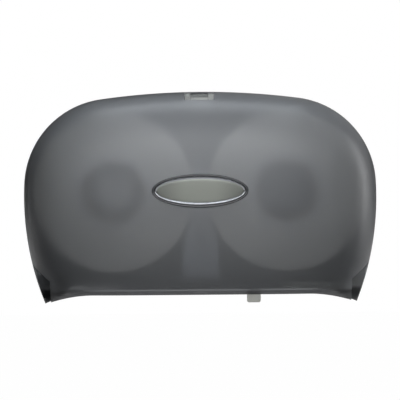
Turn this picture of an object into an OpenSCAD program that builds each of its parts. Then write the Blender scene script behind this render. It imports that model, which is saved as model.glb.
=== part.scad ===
// Twin jumbo toilet roll dispenser with a smoke cover hinged at the foot.
// Millimetres. +Z up, the wall is the plane Y = 0 and the front faces -Y.
// Z = 0 is the height of the wall screw pattern's centre.

/* [Body] */
// Overall width across the cover
body_w = 510; // [480:2:560]
// Depth from the wall to the front of the cover
body_d = 148; // [144:1:160]
// Rise of the top's middle above the shoulder curves
crown = 8.5; // [7:0.5:12]
// Height of the shoulder curves' centres
shoulder_z = 4.5; // [3:0.5:6]
// How far the shoulder curves' centres lie outside the spindles
shoulder_out = 2.8; // [2:0.2:4]
// Depth of the cover's lower corners under the wall screws' centre
bottom_h = 163; // [161:1:166]
// Radius of the lower side curves
side_r = 415; // [395:5:440]
// Wall thickness of the cover
cover_t = 2.8; // [2.4:0.1:3.2]
// Gap between the wall and the cover's rim
rim_gap = 3; // [2.6:0.1:3.4]
// How far the middle of the lower lip is raised above the corners
lip_rise = 17; // [14:1:20]
// Half length of the straight part of the lower lip
lip_flat = 150; // [140:5:160]
// How far the front leans back at the lower lip
lip_lean = 10; // [6:1:12]
// Thickness of the bead along the lower lip
lip_bead_t = 4.6; // [4:0.2:5.2]

/* [Rolls] */
// Gap between the two full rolls
roll_gap = 19; // [17:0.5:22]
// Gap between a full roll and the widest part of the side
roll_side_gap = 18; // [17:0.5:22]
// How far the spindles sit under the wall screws' centre
roll_drop = 2; // [0:0.5:3]
// Width of a roll
roll_w = 89; // [85:1:90]
// Inner diameter of the cardboard core
core_d = 84; // [80:0.5:86]
// Wall of the cardboard core
core_t = 2; // [1.5:0.5:3]
// Distance from the wall to the rolls
roll_back = 8.6; // [8.4:0.1:9]

/* [Spindles] */
// Diameter of the fixed spindle
axle_d = 16; // [14:1:18]
// Diameter of the spindle's flange
flange_d = 60; // [58:1:64]
// Thickness of the flange
flange_t = 3; // [2.5:0.1:3]
// Outer diameter of the hub's front disc
hub_disc_d = 56; // [52:1:60]
// Length of the hub along the spindle
hub_len = 25; // [22:1:30]
// Number of fins round a hub
hub_fins = 6; // [4:1:8]
// Thickness of one fin
fin_t = 2.4; // [2:0.2:3]
// Thickness of the brake washer
brake_t = 2.6; // [2.5:0.1:2.7]
// Diameter of the spindle's end cap
cap_d = 22; // [21:1:24]

/* [Back plate] */
// Thickness of the back plate
plate_t = 3; // [2.6:0.1:3.2]
// Inset of the back plate from the cover's outline
plate_inset = 5.2; // [5:0.1:6]
// Depth of the back plate's upturned rim
plate_rim = 12; // [8:1:13]
// Spacing of the wall screws from side to side
screw_dx = 400; // [390:1:404]
// Spacing of the wall screws up and down
screw_dz = 120; // [100:5:130]
// Diameter of the wall screw holes
screw_d = 5.5; // [4.5:0.5:6]
// Height of the back plate's lower edge above the cover's lower corners
plate_lift = 13; // [11:1:15]

/* [Divider] */
// Half width of the divider at its foot
divider_w = 27; // [24:1:30]
// How far the divider stands off the back plate
divider_depth = 72; // [50:2:90]
// Wall of the divider
divider_t = 2.4; // [2:0.1:2.6]

/* [Hinge] */
// Diameter of the hinge pins
pin_d = 6; // [5:0.5:7]
// Outer diameter of the hinge barrels
barrel_d = 14; // [13:0.5:15]
// Distance of the hinge line from the wall
hinge_y = 16; // [15.8:0.1:17]
// Height of the hinge line above the cover's lower corners
hinge_rise = 9; // [8:0.5:10]
// Distance from the cover's widest side to a hinge barrel
hinge_inset = 37.6; // [37:0.1:38]
// Width of the back plate's hinge ears
ear_w = 7; // [6:0.5:8]

/* [Lower corners] */
// Distance from the widest side to the corner's step
step_w = 41.5; // [40:0.5:43]
// Height of the step above the cover's lower edge
step_h = 36; // [32:1:40]
// Distance of the step's floor from the wall
step_d = 52; // [50:1:58]
// Slope of the step's upper edge
step_tilt = 39; // [30:1:45]

/* [Latch] */
// Width of the release button
button_w = 42; // [38:1:44]
// Height of the button's head
button_h = 11.5; // [10:0.5:12]
// Depth of the button's head
button_d = 17; // [16:0.5:18]
// Travel of the button when it is pressed
button_travel = 5; // [4:0.5:5]
// Wire diameter of the return spring
spring_wire = 1; // [0.8:0.1:1.2]
// Number of turns of the return spring
spring_turns = 5; // [4:1:6]

/* [Outlet] */
// Distance the shutter moves from one roll to the other
shutter_travel = 150; // [140:2:160]
// Clearance between the shutter's end and the end of the frame
shutter_clear = 4; // [3:0.5:6]
// Width of the pull tab
tab_w = 19.5; // [16:0.5:22]
// Length of the pull tab under the shutter
tab_h = 18; // [14:1:20]
// Width of the dark guide strip in front of the shutter
strip_w = 228; // [200:4:240]
// Number of teeth along each tear bar
teeth = 32; // [20:2:40]

/* [Badge] */
// Width of the oval badge
badge_w = 135; // [120:1:140]
// Height of the oval badge
badge_h = 47; // [42:1:50]
// Width of the badge's bright ring
ring_w = 4; // [3:0.5:5]
// Depth of the recess that takes the badge
badge_sink = 1.2; // [1:0.1:1.4]
// Clearance round the badge in its recess
badge_clear = 0.35; // [0.3:0.05:0.5]

/* [Hidden] */
hw = body_w / 2;
roll_d = (body_w - 2 * roll_side_gap - roll_gap) / 2;
roll_pitch = roll_d + roll_gap;
c = roll_pitch / 2;
roll_z = -roll_drop;
side_bulge = 0.4;
shoulder_x = c + shoulder_out;
shoulder_r = hw - shoulder_x - side_bulge;
top_h = shoulder_z + shoulder_r + crown;
side_cx = side_r - hw;
side_cz = shoulder_z - sqrt(2 * side_bulge * (side_cx + shoulder_x) + side_bulge * side_bulge);
top_r = (pow(shoulder_x, 2) + pow(top_h - shoulder_z, 2) - pow(shoulder_r, 2)) / (2 * crown);
dome_z = -43;
dome_a = 6;
dome_n = 3.4;
lean_top = -20;
lip_z = -bottom_h + lip_rise;
rim_start = rim_gap - 1;
run_fit = 0.06;
gap = 0.4;
shank = 0.45;
flange_screw_r = 3.4;
flange_screw_at = flange_d / 2 - 8;
small_screw_r = 2.6;
rim_t = 2.4;
rim_foot = bottom_h - 35;
plate_foot = bottom_h - plate_lift;
hinge_z = bottom_h - hinge_rise;
ear_h = 42;
rib_half = 70;
rim_cut = 34;
rib_z = 62;
rib_x = [-c - rib_half, -c + rib_half, c - rib_half, c + rib_half];
seat_rise = 2.6;
barrel_x = hw - hinge_inset;
ear_x1 = barrel_x - gap;
ear_x0 = ear_x1 - ear_w;
pin_end = barrel_x + 8.4;
corner_x = barrel_x + 2.6;
corner_z = 18;
axle_end = plate_t + flange_t + brake_t + hub_len + 2 * gap;
hub_y0 = plate_t + flange_t + brake_t + gap;
hub_y1 = hub_y0 + hub_len;
cap_stem_d = 7;
divider_z0 = -bottom_h + 39;
divider_z1 = 30;
divider_tab = 11;
tab_t = 3;
divider_screws_at = [[-20, divider_z0 - divider_tab / 2], [20, divider_z0 - divider_tab / 2],
                     [0, divider_z1 + 7]];
head_z1 = top_h - 2.1;
head_z0 = head_z1 - button_h;
button_d0 = rim_gap + 2;
notch_gap = 1.5;
notch_d = button_d0 + button_d + notch_gap;
notch_x = button_w / 2 + notch_gap;
catch_t = 3.7;
catch_w = 26;
catch_z = head_z0 + 2;
hook_w = 25;
hook_t = 3.3;
hook_d0 = notch_d + catch_t + 0.5;
hook_d1 = hook_d0 + hook_t;
hook_top = catch_z + button_travel - 1.5;
arm_h = 3.5;
house_z1 = head_z0 - arm_h - button_travel - 1;
house_h = 34;
house_z0 = house_z1 - house_h;
house_t = 22;
house_d = plate_t + house_t;
house_wall = 3;
stem_w = 20;
stem_t = 14;
stem_d0 = plate_t + house_wall;
stem_d1 = stem_d0 + stem_t;
spring_d = (stem_d0 + stem_d1) / 2;
spring_room = 14;
spring_z0 = house_z0 + house_wall + 1;
spring_z1 = spring_z0 + spring_room;
peg_h = 3;
peg_w = 3;
peg_z = spring_z1 + peg_h + 1;
latch_ear = 10;
latch_screw_x = button_w / 2 + latch_ear / 2;
latch_screw_z = house_z0 + 15;
badge_y = body_d - badge_sink;
step_x = hw - step_w;
step_z = -bottom_h + step_h;
wall_in = step_x - cover_t;
front_d = 100;
frame_t = 2.4;
frame_z = lip_z + 3.8;
frame_x = wall_in - 10.7;
ledge_x = wall_in - 14.7;
ledge_t = 5;
ledge_z = frame_z - frame_t;
ledge_d0 = step_d + 6;
ledge_d1 = ledge_d0 + 28;
frame_screw_x = wall_in - 6.2;
frame_screw_d = [ledge_d0 + 6, ledge_d1 - 6];
rail_d0 = 24.4;
rail_w = 10;
guide_h = 5.4;
guide_t = 2.8;
guide_w = 7.6;
blade_t = 1.6;
blade_h = 5.4;
tooth_h = 2;
rail_gap = 0.6;
strip_t = 3;
strip_z = frame_z + 11.1;
shutter_z = frame_z + gap;
shutter_t = 1.8;
shutter_end = frame_x - shutter_clear;
flange_over = 11.5;
tab_r = 3;
slot_x = shutter_travel / 2 + tab_w / 2 + 1;
cut_x = 1.2 * hw;
tint_cover = [0.33, 0.34, 0.36, 0.55];
tint_dark = [0.20, 0.20, 0.22];
tint_grey = [0.52, 0.53, 0.56];
tint_light = [0.78, 0.79, 0.78];
tint_paper = [0.93, 0.93, 0.92];
tint_card = [0.62, 0.53, 0.42];
tint_steel = [0.72, 0.73, 0.75];

// ---------- outline of the cover and its dome ----------

// Right half of the outline, from the lower corner up to the middle of the top
function half_outline(t, foot, n1, n2, n3) =
    let (a0 = -asin((foot + side_cz) / (side_r - t)),
         a1 = atan2(shoulder_z - side_cz, side_cx + shoulder_x),
         a2 = atan2(top_r - top_h + shoulder_z, shoulder_x))
    concat(
        [for (i = [0:n1 - 1]) let (a = a0 + (a1 - a0) * i / n1)
            [-side_cx + (side_r - t) * cos(a), side_cz + (side_r - t) * sin(a)]],
        [for (i = [0:n2 - 1]) let (a = a1 + (a2 - a1) * i / n2)
            [shoulder_x + (shoulder_r - t) * cos(a), shoulder_z + (shoulder_r - t) * sin(a)]],
        [for (i = [0:n3]) let (a = a2 + (90 - a2) * i / n3)
            [(top_r - t) * cos(a), top_h - top_r + (top_r - t) * sin(a)]]);

// The same outline from the right lower corner over the top to the left one
function open_outline(t, foot, n1, n2, n3) =
    let (h = half_outline(t, foot, n1, n2, n3), n = len(h))
    concat(h, [for (i = [n - 2:-1:0]) [-h[i][0], h[i][1]]]);

// Height of the lower lip at a distance x from the middle
function lip_at(x, corner) =
    let (u = max(0, abs(x) - lip_flat) / (corner - lip_flat))
    -bottom_h + lip_rise * (1 - u * u);

// Points of the lower lip, from the left corner to the right one
function lip_points(t, foot, drop, n) =
    let (x0 = -side_cx + sqrt(pow(side_r - t, 2) - pow(foot + side_cz, 2)))
    [for (i = [1:2 * n - 1]) let (x = -x0 * sgn_pow(cos(90 * i / n), 0.36))
        [x, lip_at(x, x0) - drop]];
function sgn_pow(v, p) = v < 0 ? -pow(-v, p) : pow(v, p);

// Reach of a lip point inside the outline carried on below the lip
function lip_gauge(p, t) =
    let (dx = abs(p[0]), dz = p[1] - dome_z, qx = side_cx, qz = dome_z - side_cz,
         qa = dx * dx + dz * dz, qb = dx * qx + dz * qz,
         qc = qx * qx + qz * qz - pow(side_r - t, 2))
    1 / ((-qb + sqrt(qb * qb - qa * qc)) / qa);

// Depth of the dome for a height and a gauge from 0 in the middle to 1 at the rim
function dome_y(z, g, t) =
    let (u = max(0, (lean_top - z) / (lean_top - lip_z)))
    -(rim_start + (body_d - t - rim_start - lip_lean * u * u)
      * pow(max(0, 1 - pow(g, dome_a)), 1 / dome_n));

// Size of each ring of the dome, close together at the rim where it curves most
function ring_at(j, rings) =
    j < rings - 2 ? pow(cos(90 * j / (rings - 1)), 2 / dome_a)
    : 0.62 * pow(cos(90 * (rings - 3) / (rings - 1)), 2 / dome_a) * (rings - j) / 2;

// Solid bounded by the dome, its lower lip and a plane behind the wall
module dome(t, drop, behind, n1, n2, n3, nl, rings) {
    foot = bottom_h + drop;
    arc = open_outline(t, foot, n1, n2, n3);
    lip = lip_points(t, foot, drop, nl);
    loop = concat(arc, lip);
    n = len(loop);
    reach = [for (i = [0:n - 1]) i < len(arc) ? 1 : min(0.9999, lip_gauge(loop[i], t))];
    front = [for (j = [0:rings - 1]) let (s = ring_at(j, rings))
        for (i = [0:n - 1])
            let (x = loop[i][0] * s, z = dome_z + (loop[i][1] - dome_z) * s)
            [x, dome_y(z, reach[i] * s, t), z]];
    back = [for (i = [0:n - 1]) [loop[i][0], behind, loop[i][1]]];
    points = concat(front, back, [[0, dome_y(dome_z, 0, t), dome_z], [0, behind, dome_z]]);
    b = rings * n;
    faces = concat(
        [for (j = [0:rings - 2]) for (i = [0:n - 1]) let (k = (i + 1) % n)
            each [[j * n + k, j * n + i, j * n + n + k],
                  [j * n + n + k, j * n + i, j * n + n + i]]],
        [for (i = [0:n - 1]) [b - n + (i + 1) % n, b - n + i, b + n]],
        [for (i = [0:n - 1]) let (k = (i + 1) % n)
            each [[b + i, i, b + k], [b + k, i, k]]],
        [for (i = [0:n - 1]) [b + i, b + (i + 1) % n, b + n + 1]]);
    polyhedron(points, faces);
}

// Flat shape with the cover's outline, cut straight at the foot
module outline_2d(t, foot) {
    polygon(concat(open_outline(t, foot, 10, 16, 12), []));
}

// Turns a flat XZ shape into a slab between two distances off the wall
module slab(d0, d1) {
    translate([0, -d0, 0]) rotate([90, 0, 0]) linear_extrude(d1 - d0) children();
}

// Turns a flat shape drawn as distance off the wall and height into a plate across X
module x_slab(x0, x1) {
    translate([x1, 0, 0]) rotate([0, 0, -90]) rotate([90, 0, 0])
        linear_extrude(x1 - x0) children();
}

// Block between two distances off the wall
module block(x0, x1, d0, d1, z0, z1) {
    translate([x0, -d1, z0]) cube([x1 - x0, d1 - d0, z1 - z0]);
}

// The same block with its four edges along Y rounded
module soft_block(x0, x1, d0, d1, z0, z1, r) {
    hull() {
        for (x = [x0 + r, x1 - r])
            for (z = [z0 + r, z1 - r])
                y_rod(x, z, d0, d1, r, 12);
    }
}

module x_rod(x0, x1, d, z, r, fn) {
    translate([x0, -d, z]) rotate([0, 90, 0]) cylinder(r = r, h = x1 - x0, $fn = fn);
}

module y_rod(x, z, d0, d1, r, fn) {
    translate([x, -d0, z]) rotate([90, 0, 0]) cylinder(r = r, h = d1 - d0, $fn = fn);
}

module y_tube(x, z, d0, d1, r, bore, fn) {
    difference() {
        y_rod(x, z, d0, d1, r, fn);
        y_rod(x, z, d0 - 1, d1 + 1, bore, fn);
    }
}

// Copies its children to both sides
module both_sides() {
    children();
    mirror([1, 0, 0]) children();
}

// Pan head screw along Y, its head in front of a seat, with a cross recess
module pan_screw(x, z, seat, r, long) {
    translate([x, -seat, z]) rotate([90, 0, 0]) difference() {
        rotate_extrude($fn = 36)
            polygon([[0, -long], [r * shank, -long], [r * shank, 0], [r, 0], [r, r * 0.35],
                     [r * 0.8, r * 0.6], [r * 0.4, r * 0.74], [0, r * 0.76]]);
        for (a = [0, 90])
            rotate([0, 0, a])
                translate([-r * 0.5, -r * 0.1, r * 0.4]) cube([r, r * 0.2, r]);
    }
}

// Oval outline by its two axes
module oval(w, h) {
    polygon([for (i = [0:95]) [w / 2 * cos(i * 3.75), h / 2 * sin(i * 3.75)]]);
}

// ---------- back plate ----------

module plate_outline(t, foot) {
    polygon(open_outline(t, foot, 10, 16, 10));
}

module back_plate() {
    color(tint_dark) difference() {
        union() {
            slab(0, plate_t) difference() {
                plate_outline(plate_inset, plate_foot);
                both_sides() translate([corner_x, -plate_foot - 10]) square([40, corner_z]);
            }
            slab(plate_t - 0.5, plate_t + plate_rim) difference() {
                plate_outline(plate_inset, rim_foot);
                plate_outline(plate_inset + rim_t, rim_foot + 5);
                translate([-rim_cut, 0]) square([2 * rim_cut, 2 * top_h]);
            }
            for (x = [-c, c]) {
                y_tube(x, roll_z, plate_t - 0.5, plate_t + seat_rise, flange_d / 2 + 3,
                       flange_d / 2 + gap, 72);
                for (z = [-rib_z, rib_z])
                    block(x - rib_half, x + rib_half, plate_t - 0.5, plate_t + 2, z - 1.2, z + 1.2);
            }
            for (x = rib_x)
                block(x - 1.2, x + 1.2, plate_t - 0.5, plate_t + 2, -rib_z, rib_z);
            both_sides() {
                x_slab(ear_x0, ear_x1)
                    polygon([[0, ear_h - hinge_z], [plate_t + 2, ear_h - hinge_z],
                             [hinge_y + 5, barrel_d / 2 + 1 - hinge_z], [hinge_y, -hinge_z],
                             [hinge_y, -hinge_z - 6], [0, -hinge_z - 2]]);
                x_rod(ear_x0, ear_x1, hinge_y, -hinge_z, barrel_d / 2, 64);
            }
        }
        for (x = [-screw_dx / 2, screw_dx / 2])
            for (z = [-screw_dz / 2, screw_dz / 2])
                y_rod(x, z, -1, plate_t + 3, screw_d / 2, 48);
        for (x = [-c, c])
            screw_ring(x) y_rod(0, 0, -1, plate_t + 2, flange_screw_r * shank + 0.1, 24);
        for (x = [-latch_screw_x, latch_screw_x])
            y_rod(x, latch_screw_z, -1, plate_t + 2, small_screw_r * shank + 0.1, 24);
        for (p = divider_screws_at)
            y_rod(p[0], p[1], -1, plate_t + 2, small_screw_r * shank + 0.1, 24);
        both_sides() x_rod(ear_x0 - 1, ear_x1 + 1, hinge_y, -hinge_z, pin_d / 2, 64);
    }
}

// ---------- divider between the two rolls ----------

function divider_half(z) =
    min(divider_w - (z - divider_z0) / 15,
        c - sqrt(max(0, pow(roll_d / 2 + 3.2, 2) - pow(z - roll_z, 2))));

module divider_outline() {
    top = divider_z1;
    rows = [for (i = [0:24]) let (z = divider_z0 + (top - divider_z0) * i / 24)
        [divider_half(z), z]];
    polygon(concat(rows, [for (i = [24:-1:0]) [-rows[i][0], rows[i][1]]]));
}

module divider() {
    color(tint_grey) difference() {
        union() {
            slab(plate_t, divider_depth) divider_outline();
            slab(plate_t, plate_t + tab_t) translate([-divider_w + 1, divider_z0 - divider_tab])
                square([2 * divider_w - 2, divider_tab + 1]);
            slab(plate_t, plate_t + tab_t) translate([-4.5, divider_z1 - 1])
                square([9, divider_tab + 2]);
        }
        slab(plate_t - 1, divider_depth - divider_t) offset(delta = -divider_t) divider_outline();
        for (p = divider_screws_at)
            y_rod(p[0], p[1], 0, plate_t + 5, small_screw_r * shank + 0.1, 24);
    }
}

module divider_screws() {
    color(tint_steel)
        for (p = divider_screws_at)
            pan_screw(p[0], p[1], plate_t + tab_t, small_screw_r, 5);
}

// ---------- spindles, hubs and rolls ----------

// Places three copies round a spindle
module screw_ring(x) {
    for (a = [90, 210, 330])
        translate([x + flange_screw_at * cos(a), 0, roll_z + flange_screw_at * sin(a)]) children();
}

module spindle(x) {
    color(tint_grey) difference() {
        union() {
            y_rod(x, roll_z, plate_t, plate_t + flange_t, flange_d / 2, 96);
            y_rod(x, roll_z, plate_t, axle_end, axle_d / 2, 64);
        }
        screw_ring(x) y_rod(0, 0, 0, plate_t + flange_t + 1, flange_screw_r * shank + 0.1, 24);
        y_rod(x, roll_z, axle_end - 14, axle_end + 1, cap_stem_d / 2, 32);
    }
}

module spindle_screws(x) {
    color(tint_steel)
        screw_ring(x)
            pan_screw(0, 0, plate_t + flange_t, flange_screw_r, 5.5);
}

module brake_washer(x) {
    color(tint_card)
        y_tube(x, roll_z, plate_t + flange_t, plate_t + flange_t + brake_t, axle_d / 2 + 6.5,
               axle_d / 2, 64);
}

module spindle_cap(x) {
    color(tint_grey) translate([x, -axle_end, roll_z]) rotate([90, 0, 0])
        rotate_extrude($fn = 64)
            polygon([[0, -12], [cap_stem_d / 2, -12], [cap_stem_d / 2, 0], [cap_d / 2, 0],
                     [cap_d / 2, 1.6], [cap_d / 2 - 1, 2.8], [cap_d / 2 - 4, 3.4], [0, 3.6]]);
}

module hub(x) {
    fin_in = axle_d / 2 + 5;
    fin_out = core_d / 2 - 0.3;
    color(tint_grey) difference() {
        union() {
            y_rod(x, roll_z, hub_y0, hub_y1, axle_d / 2 + 6, 72);
            y_rod(x, roll_z, hub_y0, hub_y0 + 2, fin_out, 96);
            y_rod(x, roll_z, hub_y1 - 3, hub_y1, hub_disc_d / 2, 96);
            for (i = [0:hub_fins - 1])
                translate([x, 0, roll_z]) rotate([0, i * 360 / hub_fins + 30, 0])
                    slab_fin(fin_in, fin_out);
        }
        y_rod(x, roll_z, hub_y0 - 1, hub_y1 + 1, axle_d / 2 + run_fit, 72);
    }
}

// One fin with a sloped front corner that leads the core on
module slab_fin(r0, r1) {
    rotate([90, 0, 0]) translate([0, 0, hub_y0 + 1]) rotate([90, 0, 0])
        translate([0, 0, -fin_t / 2]) linear_extrude(fin_t)
            polygon([[r0, 0], [r1 - 0.05, 0], [r1 - 0.05, hub_len - 9], [r1 - 7, hub_len - 2],
                     [r0, hub_len - 2]]);
}

module core(x) {
    color(tint_card)
        y_tube(x, roll_z, roll_back, roll_back + roll_w, core_d / 2 + core_t, core_d / 2, 96);
}

module roll(x) {
    color(tint_paper) translate([x, -roll_back, roll_z]) rotate([90, 0, 0])
        rotate_extrude($fn = 120)
            polygon([[core_d / 2 + core_t, 0], [roll_d / 2 - 1.2, 0], [roll_d / 2, 1.2],
                     [roll_d / 2, roll_w - 1.2], [roll_d / 2 - 1.2, roll_w],
                     [core_d / 2 + core_t, roll_w]]);
}

// ---------- hinge pins ----------

module hinge_pin(side) {
    color(tint_steel) mirror([side < 0 ? 1 : 0, 0, 0]) union() {
        x_rod(ear_x0 - 2, ear_x0, hinge_y, -hinge_z, pin_d / 2 + 1.8, 48);
        x_rod(ear_x0 - 1, pin_end, hinge_y, -hinge_z, pin_d / 2, 64);
    }
}

// ---------- latch ----------

module latch_housing() {
    color(tint_dark) difference() {
        union() {
            block(-button_w / 2, button_w / 2, plate_t, house_d, house_z0, house_z1);
            block(-latch_screw_x - latch_ear / 2, latch_screw_x + latch_ear / 2, plate_t,
                  plate_t + tab_t, latch_screw_z - 6, latch_screw_z + 6);
        }
        block(-stem_w / 2 - gap, stem_w / 2 + gap, stem_d0 - gap, stem_d1 + gap,
              spring_z0, house_z1 + 1);
        block(-stem_w / 2 - peg_w, stem_w / 2 + peg_w, stem_d0 + 5, stem_d1 - 5,
              peg_z - button_travel - gap, peg_z + peg_h + gap);
        for (x = [-latch_screw_x, latch_screw_x])
            y_rod(x, latch_screw_z, 0, plate_t + 5, small_screw_r * shank + 0.1, 24);
        both_sides() block(stem_w / 2 + peg_w + 2, button_w / 2 - house_wall, plate_t + 2,
                           house_d + 1, house_z0 + house_wall, house_z1 - house_wall);
    }
}

module latch_screws() {
    color(tint_steel)
        for (x = [-latch_screw_x, latch_screw_x])
            pan_screw(x, latch_screw_z, plate_t + tab_t, small_screw_r, 5);
}

module latch_button() {
    color(tint_light) union() {
        block(-button_w / 2, button_w / 2, button_d0, button_d0 + button_d, head_z0, head_z1);
        block(-stem_w / 2, stem_w / 2, stem_d0, stem_d1, spring_z1, head_z0 + 1);
        block(-stem_w / 2 - peg_w + 0.6, stem_w / 2 + peg_w - 0.6, stem_d0 + 5.4, stem_d1 - 5.4,
              peg_z, peg_z + peg_h);
        block(-hook_w / 2, hook_w / 2, button_d0 + button_d - 5, hook_d1, head_z0 - arm_h,
              head_z0 + 0.5);
        block(-hook_w / 2, hook_w / 2, hook_d0, hook_d1, head_z0 - 0.5, hook_top);
    }
}

// Round wire coil between the housing's floor and the button's stem
module latch_spring() {
    coil_r = 4.2;
    wr = spring_wire / 2;
    steps = spring_turns * 16;
    sides = 8;
    z0 = spring_z0 + wr + 0.05;
    z1 = spring_z1 - wr - 0.05;
    ring = [for (i = [0:steps]) let (a = i * 22.5, z = z0 + (z1 - z0) * i / steps)
        for (k = [0:sides - 1]) let (b = k * 360 / sides, r = coil_r + wr * cos(b))
            [r * cos(a), -spring_d + r * sin(a), z + wr * sin(b)]];
    n = steps * sides;
    points = concat(ring, [[coil_r, -spring_d, z0], [coil_r * cos(steps * 22.5),
        -spring_d + coil_r * sin(steps * 22.5), z1]]);
    faces = concat(
        [for (i = [0:steps - 1]) for (k = [0:sides - 1])
            let (p = i * sides + k, q = i * sides + (k + 1) % sides)
            each [[p, q, q + sides], [p, q + sides, p + sides]]],
        [for (k = [0:sides - 1]) [(k + 1) % sides, k, len(ring)]],
        [for (k = [0:sides - 1]) [n + k, n + (k + 1) % sides, len(ring) + 1]]);
    color(tint_steel) polyhedron(points, faces);
}

// ---------- front cover ----------

// Hollow of the cover, tighter along the lower lip so that a bead is left there
module hollow() {
    intersection() {
        dome(lip_bead_t, 7, 4, 8, 14, 7, 14, 13);
        block(-cut_x, cut_x, -3, 2 * body_d, -2 * bottom_h, lip_z + 8);
    }
    intersection() {
        dome(cover_t, 6, 5, 8, 14, 7, 14, 13);
        block(-cut_x, cut_x, -4, 2 * body_d, lip_z + 7, 2 * top_h);
    }
}

module front_cover() {
    color(tint_cover) difference() {
        union() {
            difference() {
                dome(0, 0, 2, 8, 14, 7, 14, 13);
                step(0);
                difference() {
                    hollow();
                    step(cover_t);
                }
            }
            cover_bosses();
        }
        block(-cut_x, cut_x, -20, rim_gap, -2 * bottom_h, 2 * top_h);
        block(-notch_x, notch_x, -10, notch_d, house_z1, 2 * top_h);
        slab(body_d - badge_sink, body_d + 20) oval(badge_w + 2 * badge_clear, badge_h + 2 * badge_clear);
        both_sides() {
            x_rod(barrel_x - 5, pin_end + 0.5, hinge_y, -hinge_z, pin_d / 2 + run_fit, 48);
            for (d = frame_screw_d)
                translate([frame_screw_x, -d, ledge_z - ledge_t - 1])
                    cylinder(r = small_screw_r * shank + 0.1, h = ledge_t + 4, $fn = 24);
        }
    }
}

// Space in front of the stepped lower corners, grown by a wall where the hollow needs it
module step(grow) {
    edge = [step_x - grow, 3 * hw];
    both_sides() slab(step_d - grow, 2 * body_d)
        polygon(concat([[edge[1], -2 * bottom_h], [edge[0], -2 * bottom_h]],
            [for (x = edge) [x, step_z + (x - step_x) * tan(step_tilt) + grow / cos(step_tilt)]]));
}

// Catch rib, notch cheeks, hinge barrels with their webs, and the frame's ledges
module cover_bosses() {
    soft_block(-catch_w / 2, catch_w / 2, notch_d - 0.5, hook_d0 - 0.5, catch_z, top_h - 1.2, 1);
    both_sides() {
        soft_block(notch_x - 0.5, notch_x + 2, rim_gap - 1, hook_d0 - 0.5, catch_z,
                   top_h - 1.3, 1);
        ledge();
        intersection() {
            union() {
                x_rod(barrel_x, hw, hinge_y, -hinge_z, barrel_d / 2, 48);
                soft_block(barrel_x + 4, hw, rim_gap - 1, hinge_y - 4, -hinge_z - 3,
                           -hinge_z + 3, 1);
                soft_block(barrel_x + 4, hw, hinge_y + 4, hinge_y + 22, -hinge_z - 2,
                           -hinge_z + 2, 1);
                soft_block(wall_in + 1, hw, hinge_y + 12, hinge_y + 15, -hinge_z + 1, step_z + 4, 1);
            }
            slab(-5, step_d) side_prism();
        }
    }
}

// Ledge on the side wall that carries one end of the outlet frame
module ledge() {
    hull() {
        for (x = [ledge_x + 2, wall_in - 1])
            for (d = [ledge_d0 + 2, ledge_d1 - 2])
                translate([x, -d, ledge_z - ledge_t]) cylinder(r = 2, h = ledge_t, $fn = 16);
    }
}

// Flat shape just inside the skin near the lower corner
module side_prism() {
    polygon(concat([[hw / 2, -bottom_h - 12]], [for (i = [0:6]) let (z = -bottom_h - 12 + i * 10)
        [-side_cx + sqrt(pow(side_r - 0.8, 2) - pow(z - side_cz, 2)), z]],
        [[hw / 2, -bottom_h + 48]]));
}

// ---------- badge ----------

module badge_bezel() {
    color(tint_dark) difference() {
        union() {
            slab(badge_y, badge_y + 2) oval(badge_w, badge_h);
            slab(badge_y + 1, badge_y + 2.8) oval(badge_w - 1.6, badge_h - 1.6);
        }
        slab(badge_y - 1, badge_y + 5) oval(badge_w - 6, badge_h - 6);
    }
}

module badge_ring() {
    color(tint_steel) difference() {
        union() {
            slab(badge_y, badge_y + 2.4) oval(badge_w - 6, badge_h - 6);
            slab(badge_y + 2, badge_y + 3.2) oval(badge_w - 7.4, badge_h - 7.4);
        }
        slab(badge_y - 1, badge_y + 5) oval(badge_w - 6 - 2 * ring_w, badge_h - 6 - 2 * ring_w);
    }
}

module badge_plate() {
    color(tint_grey)
        slab(badge_y, badge_y + 2) oval(badge_w - 6 - 2 * ring_w, badge_h - 6 - 2 * ring_w);
}

// ---------- outlet frame, tear bars and shutter ----------

module outlet_frame() {
    color(tint_dark) difference() {
        union() {
            block(-frame_x, frame_x, front_d - rail_w + 4, front_d + 4, ledge_z, frame_z);
            block(-frame_x, frame_x, rail_d0, rail_d0 + rail_w, ledge_z, frame_z);
            block(-rail_w * 0.7, rail_w * 0.7, rail_d0 + 5, front_d, ledge_z, frame_z);
            both_sides() {
                block(frame_x - rail_w, frame_x, rail_d0 + 5, front_d, ledge_z, frame_z);
                block(frame_x - 2, wall_in - 0.9, ledge_d0, ledge_d1, ledge_z, frame_z);
            }
            block(-strip_w / 2, strip_w / 2, front_d + rail_gap, front_d + rail_gap + strip_t,
                  frame_z - 1, strip_z);
            block(-strip_w / 2, strip_w / 2, front_d - 1.8, front_d + rail_gap + strip_t,
                  strip_z - 0.01, strip_z + 1.6);
            block(-frame_x, frame_x, rail_d0, rail_d0 + 2.6, frame_z - 1, frame_z + guide_h);
            block(-frame_x, frame_x, rail_d0, rail_d0 + guide_w, frame_z + guide_h - guide_t,
                  frame_z + guide_h);
        }
        block(-slot_x, slot_x, front_d - shutter_t - rail_gap, front_d + rail_gap, frame_z - 5,
              frame_z + 1);
        both_sides() for (d = frame_screw_d)
            translate([frame_screw_x, -d, frame_z - 5])
                cylinder(r = small_screw_r * shank + 0.1, h = 2 * frame_t + 5, $fn = 24);
    }
}

module frame_screws() {
    color(tint_steel)
        both_sides() for (d = frame_screw_d)
            translate([frame_screw_x, -d, frame_z]) rotate([-90, 0, 0])
                pan_screw(0, 0, 0, small_screw_r, frame_t + ledge_t - 1.4);
}

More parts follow.
